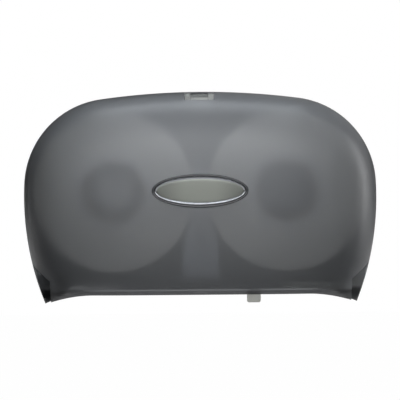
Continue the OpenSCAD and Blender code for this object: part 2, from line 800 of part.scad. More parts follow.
// Saw-toothed blade under the front of one outlet
module tear_bar(side) {
    x0 = rail_w;
    x1 = frame_x - rail_w - 4;
    step = (x1 - x0) / teeth;
    color(tint_steel) mirror([side < 0 ? 1 : 0, 0, 0])
        slab(front_d + 4 - rail_w - blade_t, front_d + 4 - rail_w)
            polygon(concat([[x0, frame_z], [x0, frame_z - blade_h + tooth_h]],
                [for (i = [0:teeth - 1])
                    each [[x0 + step * (i + 0.5), frame_z - blade_h],
                          [x0 + step * (i + 1), frame_z - blade_h + tooth_h]]],
                [[x1, frame_z]]));
}

module shutter() {
    x0 = shutter_travel - shutter_end;
    x1 = shutter_end;
    color(tint_light) union() {
        block(x0, x1, rail_d0 + 3.2, front_d, shutter_z, shutter_z + shutter_t);
        block(x0 - flange_over, x1 + flange_over, front_d - shutter_t, front_d, shutter_z,
              strip_z - gap);
        soft_block(shutter_travel / 2 - tab_w / 2, shutter_travel / 2 + tab_w / 2,
                   front_d - shutter_t, front_d, shutter_z - tab_h, shutter_z + 4, tab_r);
    }
}

back_plate();
divider();
divider_screws();
spindle(-c);  // left_spindle
spindle(c);  // right_spindle
spindle_screws(-c);  // left_spindle_screws
spindle_screws(c);  // right_spindle_screws
brake_washer(-c);  // left_brake_washer
brake_washer(c);  // right_brake_washer
spindle_cap(-c);  // left_spindle_cap
spindle_cap(c);  // right_spindle_cap
hub(-c);  // left_hub
hub(c);  // right_hub
core(-c);  // left_core
core(c);  // right_core
roll(-c);  // left_roll
roll(c);  // right_roll
hinge_pin(-1);  // left_hinge_pin
hinge_pin(1);  // right_hinge_pin
latch_housing();
latch_screws();
latch_button();
latch_spring();
front_cover();
badge_bezel();
badge_ring();
badge_plate();
outlet_frame();
frame_screws();
tear_bar(-1);  // left_tear_bar
tear_bar(1);  // right_tear_bar
shutter();
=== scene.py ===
import math

import bmesh
import bpy
from mathutils import Matrix, Vector


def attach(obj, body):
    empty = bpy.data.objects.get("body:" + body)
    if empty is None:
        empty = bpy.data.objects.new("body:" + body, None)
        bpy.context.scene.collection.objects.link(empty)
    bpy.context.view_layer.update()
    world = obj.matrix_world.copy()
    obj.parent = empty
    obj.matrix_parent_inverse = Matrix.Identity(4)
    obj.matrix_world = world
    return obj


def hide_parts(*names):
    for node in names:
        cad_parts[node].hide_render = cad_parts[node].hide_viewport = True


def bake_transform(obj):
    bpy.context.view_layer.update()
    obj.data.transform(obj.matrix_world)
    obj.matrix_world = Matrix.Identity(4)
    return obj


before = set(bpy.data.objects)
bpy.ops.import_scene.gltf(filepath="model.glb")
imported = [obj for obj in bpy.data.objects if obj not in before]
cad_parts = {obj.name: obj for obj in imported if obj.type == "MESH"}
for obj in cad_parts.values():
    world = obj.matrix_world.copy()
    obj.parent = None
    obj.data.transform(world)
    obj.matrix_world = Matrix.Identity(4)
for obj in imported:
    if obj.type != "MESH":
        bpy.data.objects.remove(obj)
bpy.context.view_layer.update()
print("frame loaded:", len(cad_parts), "nodes")

mm = 0.001
crease = 32  # degrees past which an edge stays sharp
facing = (math.pi / 2, 0.0, 0.0)  # turns a pattern's own up towards the room
spindle = {"centre": 123.25, "height": -2.0}  # the rolls' two axes, in mm either side of the middle
frameTop = -142.2  # upper face of the outlet frame, in mm
weld = {"within": 2e-6, "flat": 0.6}  # distance in m and angle in degrees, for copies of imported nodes


def linked(name, data):
    obj = bpy.data.objects.new(name, data)
    bpy.context.collection.objects.link(obj)
    return obj


def fromBmesh(name, bm):
    mesh = bpy.data.meshes.new(name)
    bm.to_mesh(mesh)
    bm.free()
    return linked(name, mesh)


def makeObject(name, verts, faces):
    mesh = bpy.data.meshes.new(name)
    mesh.from_pydata([tuple(v) for v in verts], [], [tuple(f) for f in faces])
    mesh.validate()
    mesh.update()
    return linked(name, mesh)


def shadeByAngle(obj, degrees=crease):
    mesh = obj.data
    mesh.shade_smooth()
    mesh.set_sharp_from_angle(angle=math.radians(degrees))
    return obj


def applyAll(obj):
    # bakes the live modifiers into the mesh, in place
    graph = bpy.context.evaluated_depsgraph_get()
    fresh = bpy.data.meshes.new_from_object(obj.evaluated_get(graph), depsgraph=graph)
    old = obj.data
    obj.modifiers.clear()
    obj.data = fresh
    fresh.name = obj.name
    if old.users == 0:
        bpy.data.meshes.remove(old)
    return obj


def softened(node, name, width):
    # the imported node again, merged, with its edges broken as a moulding has them
    bm = bmesh.new()
    bm.from_mesh(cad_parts[node].data)
    bmesh.ops.remove_doubles(bm, verts=bm.verts, dist=weld["within"])
    bmesh.ops.dissolve_limit(bm, angle_limit=math.radians(weld["flat"]), verts=bm.verts, edges=bm.edges)
    obj = fromBmesh(name, bm)
    bevel = obj.modifiers.new("edges", "BEVEL")
    bevel.width = width * mm
    bevel.segments = 2
    bevel.limit_method = "ANGLE"
    bevel.angle_limit = math.radians(crease)
    bevel.use_clamp_overlap = True
    obj.data.shade_smooth()
    even = obj.modifiers.new("normals", "WEIGHTED_NORMAL")
    even.mode = "FACE_AREA"
    even.weight = 100
    even.keep_sharp = True
    return applyAll(obj)


def joined(name, parts):
    bm = bmesh.new()
    for part in parts:
        bm.from_mesh(part.data)
        mesh = part.data
        bpy.data.objects.remove(part)
        if mesh.users == 0:
            bpy.data.meshes.remove(mesh)
    return fromBmesh(name, bm)


def cutWith(obj, cutter):
    cut = obj.modifiers.new("cut", "BOOLEAN")
    cut.operation = "DIFFERENCE"
    cut.solver = "MANIFOLD"
    cut.object = cutter
    bpy.context.view_layer.update()
    applyAll(obj)
    bpy.data.objects.remove(cutter)
    return obj


def outward(obj, capped=False):
    # faces turned outwards, its open ends filled first where asked
    bm = bmesh.new()
    bm.from_mesh(obj.data)
    if capped:
        bmesh.ops.holes_fill(bm, edges=[e for e in bm.edges if e.is_boundary], sides=0)
    bmesh.ops.recalc_face_normals(bm, faces=bm.faces)
    bm.to_mesh(obj.data)
    bm.free()
    return obj


def boxPart(x0, x1, d0, d1, z0, z1, round=0.0):
    # block between two distances off the wall
    bm = bmesh.new()
    bmesh.ops.create_cube(bm, size=1.0)
    size = Vector((x1 - x0, d1 - d0, z1 - z0)) * mm
    centre = Vector(((x0 + x1) / 2, -(d0 + d1) / 2, (z0 + z1) / 2)) * mm
    for v in bm.verts:
        v.co = Vector((v.co.x * size.x, v.co.y * size.y, v.co.z * size.z)) + centre
    if round:
        bmesh.ops.bevel(bm, geom=bm.edges[:], offset=round * mm, segments=3, affect="EDGES", profile=0.5)
    return fromBmesh("part", bm)


def sideBox(side, x0, x1, *rest):
    # the same block, on the left or the right
    return boxPart(*sorted((side * x0, side * x1)), *rest)


def prism(name, outline, d0, d1):
    # solid from a closed outline of x and height, between two distances off the wall
    n = len(outline)
    verts = [(x * mm, -d * mm, z * mm) for d in (d0, d1) for x, z in outline]
    faces = [tuple(range(n)), tuple(range(2 * n - 1, n - 1, -1))]
    faces += [(i, i + n, (i + 1) % n + n, (i + 1) % n) for i in range(n)]
    return outward(makeObject(name, verts, faces))


def circle(count):
    return [2 * math.pi * i / count for i in range(count)]


def loft(name, rows, closed=True):
    # skin over rows of points in mm, back to the first row where it is closed
    count = len(rows[0])
    verts = [(x * mm, y * mm, z * mm) for row in rows for x, y, z in row]
    faces = []
    for j in range(len(rows) if closed else len(rows) - 1):
        k = (j + 1) % len(rows)
        for i in range(count):
            n = (i + 1) % count
            faces.append((j * count + i, j * count + n, k * count + n, k * count + i))
    return outward(makeObject(name, verts, faces), capped=not closed)


class Wire:
    # a node's output that takes part in plain sums, each of which adds its Math node
    def __init__(self, tree, socket):
        self.tree = tree
        self.socket = socket

    def math(self, operation, other=None, flip=False):
        node = self.tree.nodes.new("ShaderNodeMath")
        node.operation = operation
        for i, end in enumerate([other, self] if flip else [self, other]):
            if isinstance(end, Wire):
                self.tree.links.new(end.socket, node.inputs[i])
            elif end is not None:
                node.inputs[i].default_value = end
        return Wire(self.tree, node.outputs[0])

    def __add__(self, o):
        return self.math("ADD", o)

    def __radd__(self, o):
        return self.math("ADD", o)

    def __sub__(self, o):
        return self.math("SUBTRACT", o)

    def __rsub__(self, o):
        return self.math("SUBTRACT", o, flip=True)

    def __mul__(self, o):
        return self.math("MULTIPLY", o)

    def __rmul__(self, o):
        return self.math("MULTIPLY", o)

    def __truediv__(self, o):
        return self.math("DIVIDE", o)

    def __pow__(self, o):
        return self.math("POWER", o)

    def root(self):
        return self.math("SQRT")

    def size(self):
        return self.math("ABSOLUTE")

    def wave(self):
        return self.math("SINE")

    def least(self, o):
        return self.math("MINIMUM", o)

    def most(self, o):
        return self.math("MAXIMUM", o)

    def over(self, o):
        return self.math("GREATER_THAN", o)


class Tree:
    def __init__(self, tree):
        self.tree = tree

    def add(self, kind, settings=None, ends=None, out=0):
        # one node: its settings first, then the values or links of its sockets
        node = self.tree.nodes.new(kind)
        for key, value in (settings or {}).items():
            setattr(node, key, value)
        for key, value in (ends or {}).items():
            for end in value if isinstance(value, list) else [value]:
                if isinstance(end, Wire):
                    self.tree.links.new(end.socket, node.inputs[key])
                else:
                    node.inputs[key].default_value = end
        return Wire(self.tree, node.outputs[out]) if out is not None else node

    def split(self, vector):
        node = self.add("ShaderNodeSeparateXYZ", ends={"Vector": vector}, out=None)
        return [Wire(self.tree, socket) for socket in node.outputs]

    def vector(self, x, y, z):
        return self.add("ShaderNodeCombineXYZ", ends={"X": x, "Y": y, "Z": z})


class Finish(Tree):
    def __init__(self, name):
        self.mat = bpy.data.materials.new(name)
        self.mat.use_nodes = True
        super().__init__(self.mat.node_tree)
        self.tree.nodes.clear()
        self.out = self.add("ShaderNodeOutputMaterial", out=None)

    def place(self):
        return self.add("ShaderNodeTexCoord", out="Object")

    def axes(self):
        return self.split(self.place())

    def noise(self, scale, detail=3.0, rough=0.5, stretch=None):
        where = self.place()
        if stretch:
            where = self.add("ShaderNodeVectorMath", {"operation": "MULTIPLY"}, {0: where, 1: stretch})
        return self.add("ShaderNodeTexNoise", {"noise_dimensions": "3D"},
                        {"Vector": where, "Scale": scale, "Detail": detail, "Roughness": rough})

    def ease(self, value, low, high):
        return self.add("ShaderNodeMapRange", {"interpolation_type": "SMOOTHSTEP"},
                        {"Value": value, "From Min": low, "From Max": high})

    def blend(self, factor, a, b):
        return self.add("ShaderNodeMix", {"data_type": "RGBA", "clamp_factor": True},
                        {0: factor, 6: a, 7: b}, out=2)

    def bump(self, height, strength, distance):
        return self.add("ShaderNodeBump", ends={"Height": height, "Strength": strength, "Distance": distance})

    def surface(self, **ends):
        named = {key.replace("_", " "): value for key, value in ends.items()}
        shader = self.add("ShaderNodeBsdfPrincipled", ends=named, out=None)
        self.tree.links.new(shader.outputs[0], self.out.inputs[0])
        return self.mat


class Pattern(Tree):
    # a geometry tree with named sizes, grown over a few points and kept as a plain mesh
    kinds = {int: "NodeSocketInt", float: "NodeSocketFloat", tuple: "NodeSocketVector"}

    def __init__(self, name, **sizes):
        super().__init__(bpy.data.node_groups.new(name, "GeometryNodeTree"))
        face = self.tree.interface
        face.new_socket("Points", in_out="INPUT", socket_type="NodeSocketGeometry")
        for label, value in sizes.items():
            face.new_socket(label, in_out="INPUT", socket_type=self.kinds[type(value)]).default_value = value
        face.new_socket("Finish", in_out="INPUT", socket_type="NodeSocketMaterial")
        face.new_socket("Mesh", in_out="OUTPUT", socket_type="NodeSocketGeometry")
        self.start = self.add("NodeGroupInput", out=None)
        self.end = self.add("NodeGroupOutput", out=None)

    def __getitem__(self, label):
        return Wire(self.tree, self.start.outputs[label])

    def moved(self, shape, at=(0.0, 0.0, 0.0), turn=(0.0, 0.0, 0.0), scale=(1.0, 1.0, 1.0)):
        return self.add("GeometryNodeTransform", ends={"Geometry": shape, "Translation": at, "Rotation": turn,
                                                       "Scale": scale})

    def union(self, *shapes):
        return self.add("GeometryNodeJoinGeometry", ends={"Geometry": list(shapes)})

    def repeated(self, points, shape, turn):
        turned = self.add("FunctionNodeEulerToRotation", ends={"Euler": turn})
        return self.add("GeometryNodeInstanceOnPoints",
                        ends={"Points": points, "Instance": shape, "Rotation": turned})

    def close(self, shape):
        real = self.add("GeometryNodeRealizeInstances", ends={"Geometry": shape})
        done = self.add("GeometryNodeSetMaterial", ends={"Geometry": real, "Material": self["Finish"]})
        self.tree.links.new(done.socket, self.end.inputs[0])
        return self

    def grow(self, name, points, key, **sizes):
        obj = makeObject(name, [tuple(v * mm for v in p) for p in points], [])
        modifier = obj.modifiers.new("pattern", "NODES")
        modifier.node_group = self.tree
        for item in self.tree.interface.items_tree:
            if item.in_out == "INPUT" and item.name in sizes:
                modifier[item.identifier] = sizes[item.name]
            elif item.in_out == "INPUT" and item.name == "Finish":
                modifier[item.identifier] = finishes[key]
        return shadeByAngle(outward(applyAll(obj)))


def rgb(r, g, b):
    # a colour as it reads on screen, given 0 to 255, turned linear
    def lin(v):
        v /= 255
        return v / 12.92 if v <= 0.04045 else ((v + 0.055) / 1.055) ** 2.4
    return (lin(r), lin(g), lin(b), 1.0)


def shaded(colour, share):
    return tuple(c * share for c in colour[:3]) + (1.0,)


smoke = {
    # colour, how dark its clouds are and their scale, and the grain of its surface
    "tint": rgb(149, 151, 154), "cloudy": 0.94, "cloud": 9.0, "pebble": 1500.0, "grain": 0.00010,
    "body": 0.85, "through": 0.67, "gloss": 0.38, "uneven": 0.06, "ior": 1.2,
    # places in m. Painted shade where the wall is seen edge on: from and to, wider by some at the foot, none
    # at the very foot
    "rim": (-0.105, -0.060), "rimTint": rgb(102, 104, 107), "rimWider": 0.015, "rimFoot": (-0.10, 0.03),
    "rimEnd": (-0.122, -0.108),
    # heights over which the colour, darker at the lip, fades out
    "lip": (-0.145, -0.139), "lipTint": rgb(88, 89, 91),
    # polished window in front of the latch: half its width, its heights, how solid it is, its soft edges
    "window": (0.021, 0.1276, 0.1386), "clear": 0.18, "soft": (0.0008, 0.0005),
}
moulded = {"flow": 14.0, "shade": 0.90, "pebble": 1300.0, "uneven": 0.12, "relief": 0.00015}
plastic = {"dark": rgb(44, 44, 47), "light": rgb(246, 247, 241), "pale": rgb(204, 208, 216),
           # the hubs' two colours are one plastic, painted lit on the left and painted shade on the right
           "leftHubPaintedLit": rgb(236, 238, 240), "rightHubPaintedShade": rgb(120, 121, 128)}
natural = {"tints": (rgb(226, 227, 221), rgb(236, 237, 231)), "through": 0.7, "gloss": 0.5, "ior": 1.49}
paper = {
    # face colour, and a grey used both for the fibres' mottling and for the painted shade round the core
    "face": rgb(247, 243, 233), "shade": rgb(206, 206, 208), "sheen": 0.15, "gloss": 0.92, "uneven": 0.08,
    # thickness of a wound layer, how far the fibres shift it, and its share of the relief
    "layer": 0.00045, "shift": 5.0, "wound": 0.35, "bump": (0.25, 0.0003),
    # scales of the fibres and of slow mottling, and how grey each makes the paper
    "fibre": 420.0, "slow": 26.0, "fibreShade": 0.25, "slowShade": 0.12,
    # radii between which the painted shade round the core fades out
    "soiled": (0.043, 0.060),
}
# for the rest, gloss is the lowest roughness and how much more there is
steel = {"tints": (rgb(184, 186, 190), rgb(206, 207, 210)), "spots": 60.0, "brushed": 240.0,
         "stretch": (1.0, 1.0, 9.0), "gloss": (0.26, 0.16), "bump": (0.06, 0.0001)}
trim = {"tints": (rgb(30, 31, 34), rgb(40, 41, 45)), "haze": 90.0, "speck": 900.0, "gloss": (0.18, 0.12),
        "bump": (0.03, 0.0001)}
gunmetal = {"middle": rgb(95, 98, 93), "ends": rgb(70, 72, 69), "worn": rgb(107, 110, 104), "wear": 0.3,
            "fade": (0.018, 0.062), "brushed": 300.0, "stretch": (0.08, 1.0, 1.0), "metal": 0.35,
            "gloss": (0.34, 0.12), "bump": (0.08, 0.0001)}


def smokeFinish():
    # smoke plastic with a frosted back, which softens whatever is far behind it
    f = Finish("smokePlastic")
    cloud = f.noise(smoke["cloud"], 2.0)
    pebble = f.noise(smoke["pebble"], 1.0)
    x, y, z = f.axes()
    tint = f.blend(cloud, smoke["tint"], shaded(smoke["tint"], smoke["cloudy"]))
    # darker at the lip, fading out above it
    tint = f.blend(1 - f.ease(z, *smoke["lip"]), tint, smoke["lipTint"])
    # painted shade where the wall is seen edge on: darker towards the wall, wider at the foot, none at the
    # very foot
    wider = (1 - f.ease(z, *smoke["rimFoot"])) * smoke["rimWider"]
    edgeShade = f.ease(y + wider, *smoke["rim"]) * f.ease(z, *smoke["rimEnd"])
    tint = f.blend(edgeShade, tint, smoke["rimTint"])
    (half, low, high), (soft, thin) = smoke["window"], smoke["soft"]
    window = (1 - f.ease(x.size(), half - soft, half + soft)) * f.ease(z, low - thin, low + thin)
    window = window * (1 - f.ease(z, high - thin, high + thin))
    body = smoke["body"] - window * (smoke["body"] - smoke["clear"])
    return f.surface(Base_Color=tint, Roughness=smoke["gloss"] + (cloud - 0.5) * smoke["uneven"],
                     IOR=smoke["ior"], Transmission_Weight=smoke["through"], Alpha=body,
                     Normal=f.bump(pebble, 0.08, smoke["grain"]))


def mouldedFinish(name, colour, gloss=0.45, grain=0.1):
    # opaque plastic, a little darker where it flowed, with a fine spark of grain
    f = Finish(name)
    flow = f.noise(moulded["flow"], 3.0)
    pebble = f.noise(moulded["pebble"], 2.0)
    return f.surface(Base_Color=f.blend(flow, shaded(colour, moulded["shade"]), colour),
                     Roughness=gloss + (pebble - 0.5) * moulded["uneven"],
                     Normal=f.bump(pebble, grain, moulded["relief"]))


def naturalFinish():
    # unpigmented plastic, which lets some of the light behind it through
    f = Finish("naturalPlastic")
    flow = f.noise(moulded["flow"], 3.0)
    pebble = f.noise(moulded["pebble"], 2.0)
    return f.surface(Base_Color=f.blend(flow, *natural["tints"]), Roughness=natural["gloss"],
                     IOR=natural["ior"], Transmission_Weight=natural["through"],
                     Normal=f.bump(pebble, 0.1, moulded["relief"]))


def paperFinish(name, centreX):
    # wound layers on the two faces, soft crepe round the outside, a little painted shade round the core
    f = Finish(name)
    x, _, z = f.axes()
    dx = x - centreX * mm
    dz = z - spindle["height"] * mm
    radius = (dx * dx + dz * dz).root()
    fibre = f.noise(paper["fibre"], 4.0, 0.6)
    wind = (radius * (2 * math.pi / paper["layer"]) + fibre * paper["shift"]).wave()
    slow = f.noise(paper["slow"], 2.0)
    # painted shade round the core, fading out between two radii
    colour = f.blend(f.ease(radius, *paper["soiled"]), paper["shade"], paper["face"])
    grey = fibre * paper["fibreShade"] + slow * paper["slowShade"]
    height = wind * paper["wound"] + fibre * (1 - paper["wound"])
    return f.surface(Base_Color=f.blend(grey, colour, paper["shade"]),
                     Roughness=paper["gloss"] + (fibre - 0.5) * paper["uneven"],
                     Specular_IOR_Level=paper["sheen"], Normal=f.bump(height, *paper["bump"]))


def grainedFinish(name, tints, grain, gloss, relief, metal=0.0):
    # one grain that carries the colour and the relief, and the gloss where it varies
    f = Finish(name)
    noise = f.noise(*grain)
    low, more = gloss
    return f.surface(Base_Color=f.blend(noise, *tints), Metallic=metal,
                     Roughness=low + noise * more if more else low, Normal=f.bump(noise, *relief))


def steelFinish():
    f = Finish("platedSteel")
    brushed = f.noise(steel["brushed"], 3.0, 0.5, steel["stretch"])
    spots = f.noise(steel["spots"], 2.0)
    low, more = steel["gloss"]
    return f.surface(Base_Color=f.blend(spots, *steel["tints"]), Metallic=1.0,
                     Roughness=low + brushed * more, Normal=f.bump(brushed, *steel["bump"]))


def trimFinish():
    f = Finish("blackTrim")
    haze = f.noise(trim["haze"], 3.0)
    low, more = trim["gloss"]
    return f.surface(Base_Color=f.blend(haze, *trim["tints"]), Roughness=low + haze * more,
                     Normal=f.bump(f.noise(trim["speck"], 1.0), *trim["bump"]))


def plateFinish():
    # gunmetal face, brushed along its length and darker towards its ends
    f = Finish("gunmetal")
    x, _, _ = f.axes()
    brushed = f.noise(gunmetal["brushed"], 4.0, 0.6, gunmetal["stretch"])
    colour = f.blend(f.ease(x.size(), *gunmetal["fade"]), gunmetal["middle"], gunmetal["ends"])
    colour = f.blend(brushed * gunmetal["wear"], colour, gunmetal["worn"])
    low, more = gunmetal["gloss"]
    return f.surface(Base_Color=colour, Metallic=gunmetal["metal"], Roughness=low + brushed * more,
                     Normal=f.bump(brushed, *gunmetal["bump"]))


print("finishes: building")
finishes = {
    "smoke": smokeFinish(),
    "dark": mouldedFinish("darkPlastic", plastic["dark"]),
    "light": mouldedFinish("lightPlastic", plastic["light"], 0.38, 0.06),
    "pale": mouldedFinish("palePlastic", plastic["pale"]),
    "natural": naturalFinish(),
    # one hub plastic twice: painted lit on the left, painted shade on the right
    "leftHubPaintedLit": mouldedFinish("leftHubPlastic", plastic["leftHubPaintedLit"]),
    "rightHubPaintedShade": mouldedFinish("rightHubPlastic", plastic["rightHubPaintedShade"]),
    "leftPaper": paperFinish("tissueLeft", -spindle["centre"]),
    "rightPaper": paperFinish("tissueRight", spindle["centre"]),
    "board": grainedFinish("coreBoard", (rgb(176, 158, 134), rgb(210, 194, 170)), (260.0, 4.0, 0.65),
                           (0.80, 0.10), (0.2, 0.0003)),
    "felt": grainedFinish("brakeFelt", (rgb(84, 80, 76), rgb(150, 146, 140)), (700.0, 5.0, 0.7),
                          (0.95, 0.0), (0.5, 0.0005)),
    "steel": steelFinish(),
    "trim": trimFinish(),
    "bright": grainedFinish("brightTrim", (rgb(150, 152, 156), rgb(166, 168, 172)), (120.0, 3.0),
                            (0.16, 0.10), (0.02, 0.0001), metal=1.0),
    "plate": plateFinish(),
}


def dress(obj, key):
    obj.data.materials.clear()
    obj.data.materials.append(finishes[key])
    return obj


def handOver(piece, node, body):
    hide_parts(node)
    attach(piece, body)


camera = {
    # angles in degrees, and its distance in m from a point in mm
    "azimuth": 0.0, "elevation": 1.2, "roll": 0.5, "distance": 3.0, "look": (-0.3, 0.0, -16.0),
    # lens and sensor in mm, and the farthest seen in m
    "lens": 184.1, "sensor": 36.0, "far": 50.0,
}


def placeCamera():
    data = bpy.data.cameras.new("view")
    data.lens = camera["lens"]
    data.sensor_width = camera["sensor"]
    data.clip_end = camera["far"]
    obj = linked("view", data)
    look = Vector(camera["look"]) * mm
    a, e = math.radians(camera["azimuth"]), math.radians(camera["elevation"])
    away = Vector((-math.sin(a) * math.cos(e), -math.cos(a) * math.cos(e), math.sin(e)))
    obj.location = look + away * camera["distance"]
    turn = (-away).to_track_quat("-Z", "Y").to_matrix().to_4x4()
    roll = Matrix.Rotation(math.radians(-camera["roll"]), 4, "Z")
    obj.matrix_world = Matrix.Translation(obj.location) @ turn @ roll
    bpy.context.scene.camera = obj


print("camera: placing")
placeCamera()


cover = {
    # the dome, in mm: its arcs, its crown and lean, and the height that all its rings shrink to
    "width": 510.0, "depth": 148.0, "crown": 8.5, "bottom": 163.0, "side": 415.0, "bulge": 0.4,
    "shoulderX": 126.05, "shoulderZ": 4.5, "middle": -43.0, "power": 6.0, "roundness": 3.4,
    "lean": 10.0, "leanTop": -20.0,
    # wall, lip bead, air behind it, and how far the hollow is drawn below the lip
    "wall": 2.8, "bead": 4.6, "beadTop": 8.0, "beadEase": 2.5, "gap": 3.0, "drop": 7.0,
    # where the dome's curve starts behind that air, and how far the hollow goes on through the back
    "under": 1.0, "through": 4.0,
    # raised middle of the lip, flat up to an x, the spacing of its points, and their largest gauge
    "rise": 17.0, "flat": 150.0, "lipSpread": 0.36, "lipReach": 0.9999,
    # stepped lower corners, cut out as far as a point well outside
    "stepX": 213.5, "stepZ": -127.0, "stepD": 52.0, "stepTilt": 39.0, "stepFar": (330.0, -260.0, 190.0),
    # points along each arc and the lip, rings up the dome and those of them on its crown
    "arc": (26, 54, 22), "lipSteps": 44, "rings": 46, "capRings": 8,
    # blocks: x from and to, distance off the wall from and to, height from and to, rounding
    "notch": (-22.5, 22.5, -10, 23.5, 118.45, 200),
    "catch": (-13, 13, 23.2, 27.2, 129.95, 140.3, 0.8),
    "cheek": (22.6, 24.6, 3, 27.2, 129.95, 140.1, 0.6),
    "ledge": (196.0, 211.6, 58, 86, -149.6, -144.6, 1.2),
    # flat walls from an x out to the side: distance off the wall and height, from and to
    "webs": ((221.4, 3, 12, -157, -151), (221.4, 20, 38, -156, -152), (211.7, 28, 31, -153.2, -123)),
    "webInset": 0.8, "webSteps": 6,
}
hinge = {
    # the barrel's axis, its radii, and the x of its mouth, of its bore's floor and of its end
    "depth": 16.0, "height": -154.0, "outer": 7.0, "bore": 3.06, "tip": 0.01,
    "mouth": 217.4, "floor": 226.0, "end": 226.2, "steps": 48,
}
badge = {
    "width": 135.0, "height": 47.0, "seat": 146.8, "steps": 160, "crease": 35,
    # the cover's recess for it: air all round, how far it is cut outwards, points round it
    "air": 0.3, "recessTo": 170.0, "recessSteps": 128,
    # profiles of inset and height over the seat
    "bezel": ((0.0, 0.0), (0.0, 1.5), (0.3, 2.3), (0.8, 2.7), (1.6, 2.8), (2.5, 2.5), (3.1, 1.9), (3.1, 0.0)),
    "ring": ((3.12, 0.0), (3.12, 1.4), (3.6, 1.9), (4.2, 2.5), (4.8, 3.0), (5.2, 3.2), (5.6, 3.1), (6.2, 2.5),
             (6.8, 1.9), (6.98, 1.8), (6.98, 0.0)),
    "plate": ((7.0, 0.0), (7.0, 1.85), (7.3, 2.0), (10.0, 2.02), (14.0, 2.04), (18.0, 2.05), (22.0, 2.06)),
}


def coverArcs():
    # shoulder radius, side centre, top radius and top height
    sx, sz = cover["shoulderX"], cover["shoulderZ"]
    hw = cover["width"] / 2
    shoulder = hw - sx - cover["bulge"]
    sideX = cover["side"] - hw
    sideZ = sz - math.sqrt(2 * cover["bulge"] * (sideX + sx) + cover["bulge"] ** 2)
    top = sz + shoulder + cover["crown"]
    topR = (sx ** 2 + (top - sz) ** 2 - shoulder ** 2) / (2 * cover["crown"])
    return shoulder, sideX, sideZ, topR, top


def sideAt(z, inset):
    _, sideX, sideZ, _, _ = coverArcs()
    return -sideX + math.sqrt((cover["side"] - inset) ** 2 - (z - sideZ) ** 2)


def coverOutline(inset, foot):
    sx, sz = cover["shoulderX"], cover["shoulderZ"]
    shoulder, sideX, sideZ, topR, top = coverArcs()
    n1, n2, n3 = cover["arc"]
    a0 = -math.asin((foot + sideZ) / (cover["side"] - inset))
    a1 = math.atan2(sz - sideZ, sideX + sx)
    a2 = math.atan2(topR - top + sz, sx)
    half = []
    for i in range(n1):
        a = a0 + (a1 - a0) * i / n1
        r = cover["side"] - inset
        half.append((-sideX + r * math.cos(a), sideZ + r * math.sin(a)))
    for i in range(n2):
        a = a1 + (a2 - a1) * i / n2
        r = shoulder - inset
        half.append((sx + r * math.cos(a), sz + r * math.sin(a)))
    for i in range(n3 + 1):
        a = a2 + (math.pi / 2 - a2) * i / n3
        r = topR - inset
        half.append((r * math.cos(a), top - topR + r * math.sin(a)))
    return half + [(-x, z) for x, z in reversed(half[:-1])]


def coverLip(inset, drop):
    _, sideX, sideZ, _, _ = coverArcs()
    end = sideAt(-cover["bottom"] - drop, inset)
    n = cover["lipSteps"]
    points = []
    for i in range(1, 2 * n):
        v = math.cos(math.pi / 2 * i / n)
        x = -end * math.copysign(abs(v) ** cover["lipSpread"], v)
        u = max(0.0, abs(x) - cover["flat"]) / (end - cover["flat"])
        z = -cover["bottom"] + cover["rise"] * (1 - min(u, 1.0) ** 2) - drop
        # how far the point is on the way from the middle to the side arc it points at
        dx, dz = abs(x), z - cover["middle"]
        qx, qz = sideX, cover["middle"] - sideZ
        qa, qb = dx * dx + dz * dz, dx * qx + dz * qz
        qc = qx * qx + qz * qz - (cover["side"] - inset) ** 2
        points.append((x, z, min(cover["lipReach"], 1 / ((-qb + math.sqrt(qb * qb - qa * qc)) / qa))))
    return points


def coverDepth(z, gauge, inset):
    # distance off the wall, at a gauge from 0 in the middle to 1 at the outline
    lipZ = cover["rise"] - cover["bottom"]
    u = max(0.0, (cover["leanTop"] - z) / (cover["leanTop"] - lipZ))
    start = cover["gap"] - cover["under"]
    full = cover["depth"] - inset - start - cover["lean"] * u * u
    return start + full * max(0.0, 1 - gauge ** cover["power"]) ** (1 / cover["roundness"])


def ringScale(j):
    # rings crowd towards the outline, and those of the crown are evenly spaced
    even = cover["capRings"] + 1
    last = cover["rings"] - even
    scale = math.cos(math.pi / 2 * min(j, last) / (cover["rings"] - 1)) ** (2 / cover["power"])
    return scale if j <= last else scale * (cover["rings"] - j) / even


def coverSkin(inset, drop=0.0):
    loop = [(x, z, 1.0) for x, z in coverOutline(inset, cover["bottom"] + drop)] + coverLip(inset, drop)
    rows = []
    for j in range(cover["rings"]):
        s = ringScale(j)
        row = []
        for x, z, reach in loop:
            px, pz = x * s, cover["middle"] + (z - cover["middle"]) * s
            row.append((px, max(cover["gap"], coverDepth(pz, reach * s, inset)), pz))
        rows.append(row)
    pole = (0.0, coverDepth(cover["middle"], 0.0, inset), cover["middle"])
    return rows, pole


def coverSolid(rows, pole, back):
    # closed form under one skin, with a flat back at a distance off the wall
    n = len(rows[0])
    rings = len(rows)
    verts = [(x * mm, -d * mm, z * mm) for row in rows for x, d, z in row]
    verts.append((pole[0] * mm, -pole[1] * mm, pole[2] * mm))
    verts += [(x * mm, -back * mm, z * mm) for x, d, z in rows[0]]
    tip, tail = rings * n, rings * n + 1
    faces = []
    for i in range(n):
        k = (i + 1) % n
        faces += [(j * n + i, j * n + k, (j + 1) * n + k, (j + 1) * n + i) for j in range(rings - 1)]
        faces.append(((rings - 1) * n + i, (rings - 1) * n + k, tip))
        faces.append((k, i, tail + i, tail + k))
    faces.append(tuple(range(tail, tail + n)))
    return outward(makeObject("solid", verts, faces))


